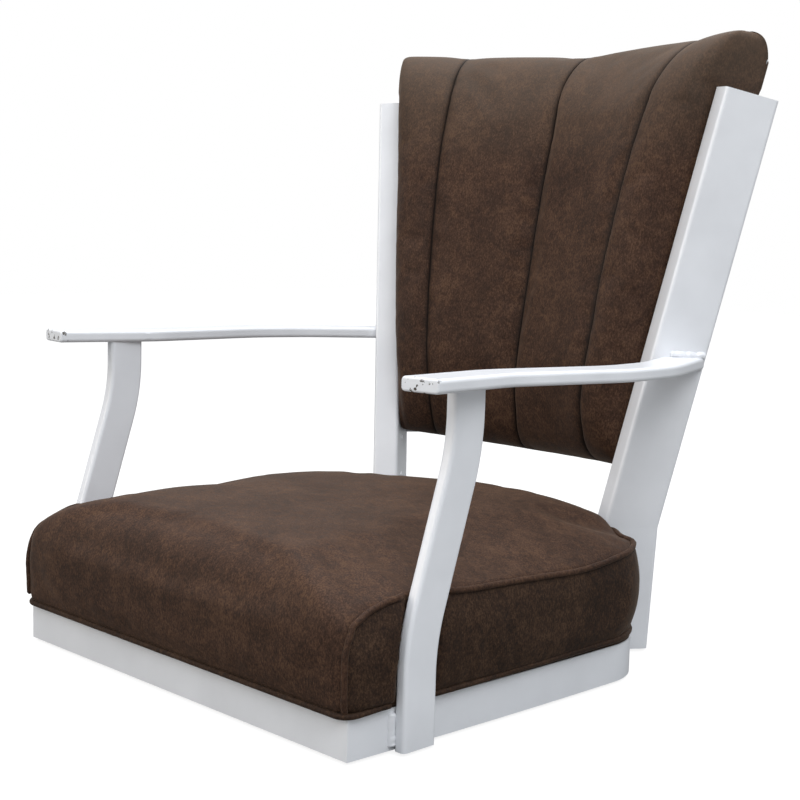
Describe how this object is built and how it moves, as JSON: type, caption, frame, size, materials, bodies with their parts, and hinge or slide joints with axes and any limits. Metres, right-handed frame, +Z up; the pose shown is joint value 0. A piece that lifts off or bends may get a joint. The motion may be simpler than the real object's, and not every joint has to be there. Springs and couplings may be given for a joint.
{
  "type": "swivel bar stool seat",
  "caption": "Swivel seat unit of a bar stool: white steel frame with arms, brown upholstered seat and channelled curved back, on a ball-bearing swivel plate.",
  "frame": {"origin": "on the swivel axis, at the underside of the swivel's base plate", "axes": "+Z up along the swivel axis, +Y towards the back of the seat, +X towards the sitter's left; the sitter faces -Y"},
  "size_m": [0.6042, 0.6697, 0.667],
  "materials": {
    "white_powder_coat": "satin powder coat with a light orange peel",
    "brown_microsuede": "distressed suede-look upholstery, matt",
    "plywood": "bare",
    "zinc_plate": "zinc plated",
    "ball_steel": "polished"
  },
  "bodies": {
    "swivel_base": {"swivel_base_plate": "zinc_plate", "swivel_lower_race": "zinc_plate", "swivel_pin": "zinc_plate", "swivel_washer": "zinc_plate", "swivel_lock_nut": "zinc_plate"},
    "ball_ring": {"swivel_balls": "ball_steel", "swivel_ball_cage": "zinc_plate"},
    "seat_unit": {"swivel_upper_race": "zinc_plate", "swivel_top_plate": "zinc_plate", "swivel_bolts": "zinc_plate", "swivel_nuts": "zinc_plate", "seat_screws": "zinc_plate", "back_screws": "zinc_plate", "front_rail": "white_powder_coat", "rear_rail": "white_powder_coat", "apron_front": "white_powder_coat", "apron_band": "white_powder_coat", "upright_left": "white_powder_coat", "upright_right": "white_powder_coat", "upright_cap_left": "white_powder_coat", "upright_cap_right": "white_powder_coat", "upright_wedge_left": "white_powder_coat", "upright_wedge_right": "white_powder_coat", "arm_left": "white_powder_coat", "arm_right": "white_powder_coat", "arm_cap_left": "white_powder_coat", "arm_cap_right": "white_powder_coat", "arm_post_left": "white_powder_coat", "arm_post_right": "white_powder_coat", "back_tabs": "white_powder_coat", "seat_board": "plywood", "back_board": "plywood", "seat_cushion": "brown_microsuede", "seat_welt": "brown_microsuede", "back_pad": "brown_microsuede", "back_rear_panel": "brown_microsuede"}
  },
  "joints": [
    {"name": "seat_swivel", "type": "hinge", "parent": "swivel_base", "child": "seat_unit", "pos_m": [0, 0, 0.012], "axis": [0, 0, 1], "continuous": true},
    {"name": "ball_ring_turn", "type": "hinge", "parent": "swivel_base", "child": "ball_ring", "pos_m": [0, 0, 0.012], "axis": [0, 0, 1], "continuous": true}
  ],
  "couplings": [
    {"joint": "ball_ring_turn", "follows": "seat_swivel", "ratio": 0.5}
  ]
}
